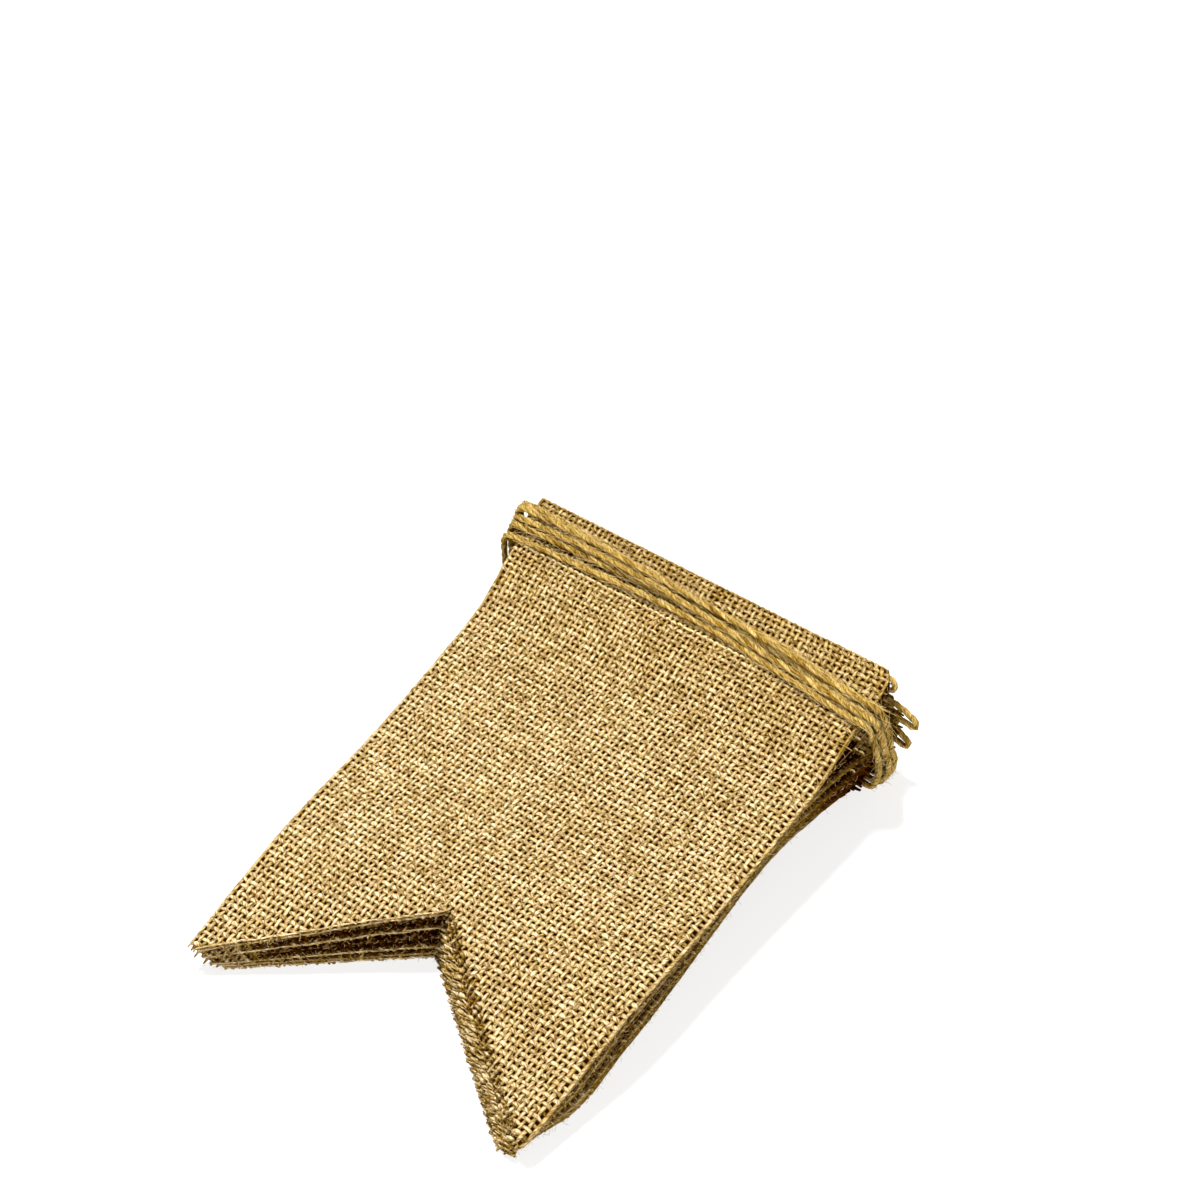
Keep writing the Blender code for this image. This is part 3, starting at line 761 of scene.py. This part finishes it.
def smooth_line(route, step):
    """The route as a smooth line with a point every step."""
    route = np.array(route)
    place = np.r_[0.0, np.cumsum(np.linalg.norm(np.diff(route, axis=0), axis=1) ** 0.5)]
    slope = np.gradient(route, place, axis=0)
    pace = np.diff(route, axis=0) / np.diff(place)[:, None]
    least = 2.0 * np.minimum(np.abs(pace[1:]), np.abs(pace[:-1]))
    slope[1:-1] = np.where(pace[1:] * pace[:-1] > 0.0, np.clip(slope[1:-1], -least, least), 0.0)
    fine = np.linspace(0.0, place[-1], 40 * len(route))
    k = np.clip(np.searchsorted(place, fine) - 1, 0, len(place) - 2)
    width = (place[k + 1] - place[k])[:, None]
    t = (fine[:, None] - place[k][:, None]) / width
    line = (
        route[k] * (2 * t ** 3 - 3 * t ** 2 + 1) + slope[k] * width * (t ** 3 - 2 * t ** 2 + t)
        + route[k + 1] * (3 * t ** 2 - 2 * t ** 3) + slope[k + 1] * width * (t ** 3 - t ** 2)
    )
    run = np.r_[0.0, np.cumsum(np.linalg.norm(np.diff(line, axis=0), axis=1))]
    even = np.linspace(0.0, run[-1], max(int(run[-1] / step), 2))
    return np.stack([np.interp(even, run, line[:, c]) for c in range(3)], 1), even


def turning_frame(line):
    """Two directions across a line that don't twist about it."""
    ahead = unit(np.gradient(line, axis=0))
    first = np.zeros_like(line)
    first[0] = unit(np.cross(ahead[0], (0.3, 0.2, 0.9)))
    for k in range(1, len(line)):
        kept = first[k - 1] - ahead[k] * np.dot(first[k - 1], ahead[k])
        first[k] = kept / np.linalg.norm(kept)
    return first, np.cross(ahead, first)


PLIES = 3
PLY_OUT = 0.56         # the middle of a ply from the middle of the cord
PLY_HALF = 0.60
TWIST = 11.5           # length of one turn of the plies


def cord_mesh(name, route, step, sides, seed):
    """Three twisted plies round a route."""
    line, place = smooth_line(route, step)
    first, second = turning_frame(line)
    centres, halves, tints = [], [], []
    for ply in range(PLIES):
        angle = 2 * np.pi * (place / TWIST + ply / PLIES) + 0.5 * wander(seed + 7, place, 30.0)
        out = PLY_OUT * (1.0 + 0.16 * wander(seed + ply, place, 9.0))
        across = first * np.cos(angle)[:, None] + second * np.sin(angle)[:, None]
        centres.append(line + across * out[:, None])
        half = 1.0 + 0.12 * wander(seed + 10 + ply, place, 6.0) + 0.08 * wander(seed + 20 + ply, place, 2.2)
        halves.append(PLY_HALF * half)
        tints.append(0.64 + 0.18 * wander(seed + 30 + ply, place, 16.0) + 0.08 * (ply - 1))
    points, half, tone_and_shade = (np.concatenate(parts) for parts in (centres, halves, tints))
    direction = unit(np.concatenate([np.gradient(centre, axis=0) for centre in centres]))
    hub = np.tile(line, (PLIES, 1))
    lift = unit(points - hub)
    lift = unit(lift - direction * np.sum(lift * direction, 1, keepdims=True))
    across = np.cross(direction, lift)
    # painted shade down the sides of the plies
    tone_and_shade = tone_and_shade[:, None] * cord_shade(points, hub, across, lift, half, sides)
    runs = np.repeat(np.arange(PLIES), len(line))
    place = np.tile(place, PLIES)
    return tubes(name, points, across, lift, half, half * 0.94, runs, place, tone_and_shade, sides), line


def cord_shade(points, hub, across, lift, half, sides):
    """Painted shade on a cord: 1 where it faces away from the stack, darker down its sides."""
    angle = 2 * np.pi * np.arange(sides) / sides
    ring = across[:, None] * np.cos(angle)[:, None] + lift[:, None] * np.sin(angle)[:, None]
    ring = unit(points[:, None] - hub[:, None] + ring * half[:, None, None])
    out_x = np.sign(hub[:, 0]) * ease((np.abs(hub[:, 0]) - 60.0) / 12.0)
    out_z = np.clip((hub[:, 2] - 21.0) / 14.0, -1.0, 1.0)
    outward = unit(np.stack([out_x, -0.6 * np.abs(out_x), out_z], 1) + 1e-6)
    facing = np.sum(ring * outward[:, None], -1)
    return 0.42 + 0.58 * ease((facing + 0.6) / 1.2)


# ---- materials ----
def new_material(name):
    material = bpy.data.materials.new(name)
    material.use_nodes = True
    tree = material.node_tree
    return material, tree, tree.nodes["Principled BSDF"]


def node(tree, kind, inputs=None, **settings):
    """Adds a node, fills its inputs with numbers or with outputs, and returns its own."""
    made = tree.nodes.new(kind)
    for key, value in settings.items():
        setattr(made, key, value)
    for key, value in (inputs or {}).items():
        if isinstance(value, bpy.types.NodeSocket):
            tree.links.new(value, made.inputs[key])
        else:
            made.inputs[key].default_value = value
    return made.outputs


def maths(tree, operation, *values):
    return node(tree, "ShaderNodeMath", dict(enumerate(values)), operation=operation)[0]


def times(tree, first, second):
    return maths(tree, "MULTIPLY", first, second)


def vector(tree, *values):
    return node(tree, "ShaderNodeCombineXYZ", dict(enumerate(values)))[0]


def split(tree, place):
    return node(tree, "ShaderNodeSeparateXYZ", {0: place})


def run_map(tree):
    """Place along a yarn and round it, or along and across a sheet."""
    return split(tree, node(tree, "ShaderNodeUVMap", uv_map="run")[0])[:2]


def noise(tree, place, scale, detail):
    return node(tree, "ShaderNodeTexNoise", {"Scale": scale, "Detail": detail, "Vector": place})[0]


def object_noise(tree, scale, detail=2.0):
    return noise(tree, node(tree, "ShaderNodeTexCoord")["Object"], scale, detail)


def streaks(tree, scale_along, scale_round, slant):
    """Noise drawn out along a yarn or a ply."""
    run, turn = run_map(tree)
    angle = times(tree, maths(tree, "MULTIPLY_ADD", run, slant, turn), 2 * math.pi)
    ring = [times(tree, maths(tree, wave, angle), scale_round) for wave in ("COSINE", "SINE")]
    return noise(tree, vector(tree, times(tree, run, scale_along), *ring), 1.0, 4.0)


def ramp(tree, factor, stops):
    """A colour ramp on a factor: (place, colour) pairs."""
    made = tree.nodes.new("ShaderNodeValToRGB")
    band = made.color_ramp.elements
    while len(band) < len(stops):
        band.new(0.5)
    for element, (place, colour) in zip(band, stops):
        element.position = place
        element.color = (*colour, 1.0)
    tree.links.new(factor, made.inputs["Fac"])
    return made.outputs["Color"]


def shade(tree, factor, first, second):
    """The first colour multiplied by the second."""
    colours = {0: factor, 6: first, 7: second}
    return node(tree, "ShaderNodeMix", colours, data_type="RGBA", blend_type="MULTIPLY")[2]


def coat(tree, shader, colour, roughness):
    """A dull surface in a colour that comes from other nodes."""
    tree.links.new(colour, shader.inputs["Base Color"])
    shader.inputs["Roughness"].default_value = roughness
    shader.inputs["Specular IOR Level"].default_value = 0.0


def bump(tree, shader, height, strength, distance):
    heights = {"Strength": strength, "Distance": distance, "Height": height}
    tree.links.new(node(tree, "ShaderNodeBump", heights)[0], shader.inputs["Normal"])


def fibre_material(name, dark, middle, pale, slant, fineness):
    """Jute fibre: a tone for each yarn that carries its painted light and shade, streaks along it and large
    patches.
    """
    material, tree, shader = new_material(name)
    tone_and_shade = node(tree, "ShaderNodeAttribute", attribute_name="tone_and_shade")["Fac"]
    # the two darkest stops are reached only by the painted shade deep in the stack and under the yarns
    colour = ramp(tree, tone_and_shade, (
        (0.03, (0.012, 0.001, 0.0)), (0.18, (0.068, 0.020, 0.001)),
        (0.38, dark), (0.64, middle), (0.94, pale),
    ))
    fine = streaks(tree, 0.6, fineness, slant)
    lines = ramp(tree, fine, (
        (0.39, (0.26, 0.18, 0.05)), (0.5, (0.88, 0.85, 0.76)), (0.61, (1.46, 1.45, 1.45)),
    ))
    patch = ramp(tree, object_noise(tree, 55.0, 3.0), (
        (0.30, (0.86, 0.82, 0.74)), (0.6, (1.06, 1.05, 1.04)),
    ))
    colour = shade(tree, 0.9, colour, lines)
    coat(tree, shader, shade(tree, 0.55, colour, patch), 0.82)
    bump(tree, shader, fine, 0.6, 0.00025)
    return material


def core_material(name, gap_shade, yarn):
    """The cloth between the yarns that are modelled, in painted shade: a dark sheet with a weave whose gaps
    are painted darker still.
    """
    material, tree, shader = new_material(name)
    waves = [
        maths(tree, "ABSOLUTE", maths(tree, "SINE", times(tree, place, math.pi / pitch)))
        for place, pitch in zip(run_map(tree), (WEFT_PITCH, 2 * HALF_WIDTH / WARP_COUNT))
    ]
    top = maths(tree, "MAXIMUM", *waves)
    base = ramp(tree, top, ((0.45, gap_shade), (0.95, yarn)))
    patch = ramp(tree, object_noise(tree, 60.0), ((0.3, (0.8, 0.8, 0.8)), (0.7, (1.1, 1.1, 1.1))))
    coat(tree, shader, shade(tree, 1.0, base, patch), 0.92)
    bump(tree, shader, top, 0.8, 0.0006)
    return material


def plain_material(name, colour, roughness):
    material, tree, shader = new_material(name)
    low, high = (tuple(part * c for c in colour) for part in (0.85, 1.1))
    coat(tree, shader, ramp(tree, object_noise(tree, 90.0), ((0.3, low), (0.7, high))), roughness)
    return material


BURLAP = fibre_material(
    "burlap_yarn", (0.165, 0.098, 0.010), (0.34, 0.250, 0.120), (0.57, 0.455, 0.300), 0.16, 1.3,
)
JUTE = fibre_material(
    "jute_ply", (0.17, 0.098, 0.013), (0.30, 0.205, 0.056), (0.46, 0.346, 0.134), 0.10, 1.9,
)
# dark sheets in painted shade: inside the stack, and under the top flag's open weave
INNER_SHADE = core_material("burlap_inner_shade", (0.018, 0.007, 0.002), (0.13, 0.075, 0.025))
BACKING_SHADE = core_material("burlap_backing_shade", (0.009, 0.002, 0.0), (0.045, 0.016, 0.001))
FIBRE = plain_material("loose_fibre", (0.56, 0.41, 0.17), 0.8)
STITCH = plain_material("sleeve_thread", (0.66, 0.50, 0.25), 0.7)


# ---- loose fibres along a line ----
def fibre_tree():
    """Short bent fibres that leave a line at random, all round it."""
    tree = bpy.data.node_groups.new("loose_fibres", "GeometryNodeTree")
    for name, kind in (
        ("Geometry", "Geometry"), ("Spacing", "Float"), ("Length", "Float"), ("Radius", "Float"),
        ("Reach", "Float"), ("Lean", "Float"), ("Lift", "Float"), ("Seed", "Int"), ("Finish", "Material"),
    ):
        tree.interface.new_socket(name, in_out="INPUT", socket_type="NodeSocket" + kind)
    tree.interface.new_socket("Geometry", in_out="OUTPUT", socket_type="NodeSocketGeometry")
    lines, spacing, length, radius, reach, lean, lift, seed, finish = node(tree, "NodeGroupInput")[:9]
    line = node(tree, "GeometryNodeMeshToCurve", {"Mesh": lines})[0]
    spots = {"Curve": line, "Length": spacing}
    spots = node(tree, "GeometryNodeCurveToPoints", spots, mode="LENGTH")

    # one fibre, which stands off the line by its reach
    arc = node(tree, "GeometryNodeCurveQuadraticBezier", {
        "Resolution": 4,
        "Start": vector(tree, reach),
        "Middle": vector(tree, reach, times(tree, lift, 0.5), times(tree, length, 0.55)),
        "End": vector(tree, maths(tree, "ADD", reach, lift), times(tree, lift, 0.3), length),
    })[0]
    circle = node(tree, "GeometryNodeCurvePrimitiveCircle", {"Resolution": 3, "Radius": radius})[0]
    hair = {"Curve": arc, "Profile Curve": circle, "Fill Caps": True}
    hair = node(tree, "GeometryNodeCurveToMesh", hair)[0]

    # turned, stretched and flipped at random
    down = times(tree, lean, -1.0)
    turn = {0: vector(tree, down, down, -math.pi), 1: vector(tree, lean, lean, math.pi), "Seed": seed}
    turn = node(tree, "FunctionNodeRandomValue", turn, data_type="FLOAT_VECTOR")[0]
    turn = {0: spots["Rotation"], 1: node(tree, "FunctionNodeEulerToRotation", {0: turn})[0]}
    turn = node(tree, "FunctionNodeRotateRotation", turn, rotation_space="LOCAL")[0]
    size = {2: 0.35, 3: 1.25, "Seed": seed}
    size = node(tree, "FunctionNodeRandomValue", size, data_type="FLOAT")[1]
    flip = {"Probability": 0.5, "Seed": seed}
    flip = node(tree, "FunctionNodeRandomValue", flip, data_type="BOOLEAN")[3]
    sign = maths(tree, "MULTIPLY_ADD", flip, -2.0, 1.0)
    spread = node(tree, "GeometryNodeInstanceOnPoints", {
        "Points": spots["Points"], "Instance": hair, "Rotation": turn,
        "Scale": vector(tree, 1.0, sign, times(tree, size, sign)),
    })[0]
    whole = node(tree, "GeometryNodeRealizeInstances", {0: spread})[0]

    # no fibre hangs below the surface that the flags lie on
    x, y, z = split(tree, node(tree, "GeometryNodeInputPosition")[0])
    place = vector(tree, x, y, maths(tree, "MAXIMUM", z, 0.0001))
    whole = node(tree, "GeometryNodeSetPosition", {"Geometry": whole, "Position": place})[0]
    whole = node(tree, "GeometryNodeSetMaterial", {"Geometry": whole, "Material": finish})[0]
    tree.links.new(whole, tree.nodes.new("NodeGroupOutput").inputs[0])
    return tree


def grown(name, tree, lines, finish, slot, **sizes):
    """Runs a tree on lines of points (mm) and returns its plain mesh piece."""
    mesh = bpy.data.meshes.new(name)
    points, edges = [], []
    for line in lines:
        start = len(points)
        points += from_origin(line).tolist()
        edges += [(k, k + 1) for k in range(start, len(points) - 1)]
    mesh.from_pydata(points, edges, [])
    guide = add_object(name, mesh)
    modifier = guide.modifiers.new(tree.name, "NODES")
    modifier.node_group = tree
    given = {**sizes, "Finish": finish}
    for item in tree.interface.items_tree:
        if item.in_out == "INPUT" and item.name in given:
            modifier[item.identifier] = given[item.name]
    return new_piece(name, baked(guide), finish)


# ---- camera, light and floor ----
CAMERA_AT = (0.4472, -0.4898, 0.7985)
CAMERA_TURN = (40.315, 45.807, -5.332)     # azimuth, elevation and roll in degrees
LENS = 99.97


def set_camera():
    camera = add_object("camera", bpy.data.cameras.new("camera"))
    azimuth, elevation, roll = (math.radians(a) for a in CAMERA_TURN)
    back = Vector((
        math.sin(azimuth) * math.cos(elevation),
        -math.cos(azimuth) * math.cos(elevation),
        math.sin(elevation),
    ))
    camera.location = CAMERA_AT
    camera.rotation_mode = "QUATERNION"
    camera.rotation_quaternion = (-back).to_track_quat("-Z", "Y") @ Quaternion((0, 0, 1), roll)
    camera.data.sensor_width = 36.0
    camera.data.lens = LENS
    camera.data.clip_start = 0.01
    camera.data.clip_end = 100.0
    bpy.context.scene.camera = camera


def area_light(name, place, aim, size, power, colour):
    data = bpy.data.lights.new(name, "AREA")
    data.shape = "DISK"
    data.size = size
    data.energy = power
    data.color = colour
    lamp = add_object(name, data)
    lamp.location = place
    lamp.rotation_mode = "QUATERNION"
    lamp.rotation_quaternion = (Vector(aim) - Vector(place)).to_track_quat("-Z", "Y")


def set_studio():
    area_light("key_light", (-0.75, 0.32, 3.42), (0, 0, 0.02), 0.6, 256.0, (1.0, 0.985, 0.955))
    area_light("fill_light", (1.1, -1.5, 1.3), (0, 0, 0.02), 1.2, 46.0, (1.0, 0.98, 0.94))
    bpy.context.scene.view_settings.view_transform = "Standard"
    world = bpy.data.worlds.new("studio")
    bpy.context.scene.world = world
    world.use_nodes = True
    sky = world.node_tree.nodes["Background"]
    sky.inputs[0].default_value = (1.0, 0.96, 0.88, 1.0)
    sky.inputs[1].default_value = 0.36
    mesh = bpy.data.meshes.new("floor")
    half = 6.0
    corners = [(-half, -half, 0), (half, -half, 0), (half, half, 0), (-half, half, 0)]
    mesh.from_pydata(corners, [], [(0, 1, 2, 3)])
    material, _, shader = new_material("white_floor")
    shader.inputs["Base Color"].default_value = (0.32, 0.32, 0.32, 1.0)
    shader.inputs["Roughness"].default_value = 0.9
    shader.inputs["Emission Color"].default_value = (1.0, 1.0, 1.0, 1.0)
    shader.inputs["Emission Strength"].default_value = 0.66
    mesh.materials.append(material)
    floor = add_object("floor", mesh)


# ---- pieces ----
def make_cords(tree):
    strung, strung_line = cord_mesh("strung_jute", strung_route(), 1.7, 6, 11)
    wound, wound_line = cord_mesh("wound_jute", wound_route(), 0.8, 8, 51)
    strung = new_piece("strung_jute", strung, JUTE)
    wound = new_piece("wound_jute", wound, JUTE)
    hair = grown(
        "cord_fibres", tree, [wound_line], FIBRE, "jute",
        Spacing=0.00062, Length=0.0060, Radius=0.00005, Reach=0.00108,
        Lean=0.16, Lift=0.0007, Seed=3,
    )
    for piece in (strung, wound, hair):
        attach(piece, "root")
    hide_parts("strung_cord")
    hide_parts("wound_cord")


def edge_lines(flag):
    """The flag's cut edges: both sides and both sides of the notch."""
    w = np.linspace(FOLD_W + 2.0, LIFT + LENGTH, 70)
    v = np.linspace(NOTCH_V + 0.5, LENGTH, 40)
    lines = []
    for side in (-1.0, 1.0):
        lines.append(cloth_point(flag, w, side, 0.1))
        lines.append(cloth_point(flag, LIFT + v, side * notch_edge(v, side), 0.1))
    return lines


def stitch_mesh(name, flag):
    """A running stitch through the sleeve and its hem."""
    along_s = np.linspace(-0.985, 0.985, 58)
    off = np.array([-0.1, 0.62, 0.82, 0.62, -0.1])
    tables = []
    for number, start in enumerate(along_s[:-1]):
        s = start + np.array([0.0, 0.15, 0.4, 0.65, 0.8]) * (along_s[1] - along_s[0])
        w = HEADER_W - 1.6 + 0.25 * wander(flag + 700, number + s * 3.0, 1.0)
        tables.append(thread(w, s, off, 0.3, 95000 + 100 * flag + number, None, number + 1))
    return yarn_mesh(name, flag, np.concatenate(tables), 6)


def nap_lines():
    """Lines across the top flag's face that its nap grows from."""
    rng = np.random.default_rng(77)
    top = len(FLAGS) - 1
    lines = []
    for w in np.linspace(FOLD_W + 3.0, LIFT + NOTCH_V - 2.0, 34):
        lines.append(cloth_point(top, w + rng.uniform(-1.5, 1.5, 24), np.linspace(-0.97, 0.97, 24), 0.5))
    for start in np.linspace(-0.95, 0.95, 22):
        w = np.linspace(FOLD_W + 3.0, float(cut_w(start)) - 2.0, 30)
        lines.append(cloth_point(top, w, start + rng.uniform(-0.01, 0.01, 30), 0.5))
    return lines


def make_flags(tree):
    for flag in range(len(FLAGS)):
        number = flag + 1
        name = "flag_%d" % number
        top = number == len(FLAGS)
        band = None if top or flag == 0 else BAND
        pieces = []
        for kind, yarns in (("warp_%d", warp_yarns), ("weft_%d", weft_yarns)):
            mesh = yarn_mesh(kind % number, flag, yarns(flag, top, band), 6 if top else 4)
            pieces.append(new_piece(kind % number, mesh, BURLAP))
        pieces.append(grown(
            "fray_%d" % number, tree, edge_lines(flag), FIBRE, "burlap",
            Spacing=0.0022, Length=0.0016, Radius=0.00005, Reach=0.0001,
            Lean=1.2, Lift=0.0006, Seed=10 + flag,
        ))
        mesh = stitch_mesh("stitch_%d" % number, flag)
        pieces.append(new_piece("stitch_%d" % number, mesh, STITCH))
        if top:
            pieces.append(grown(
                "nap", tree, nap_lines(), FIBRE, "burlap",
                Spacing=0.0042, Length=0.0042, Radius=0.00006, Reach=0.0001,
                Lean=0.5, Lift=0.0010, Seed=5,
            ))
        # a dark sheet of painted shade below the top flag's yarns, seen through its holes; in the lower
        # flags it stands for the cloth inside the stack, also in painted shade
        mesh = core_mesh("cloth_%d" % number, flag, 0.2, -0.3 if top else 0.0)
        cloth = new_piece("cloth_%d" % number, mesh, BACKING_SHADE if top else INNER_SHADE)
        pieces.append(cloth)
        for piece in pieces:
            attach(piece, "root")
        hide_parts(name)


set_camera()
set_studio()
FIBRES = fibre_tree()
make_cords(FIBRES)
make_flags(FIBRES)
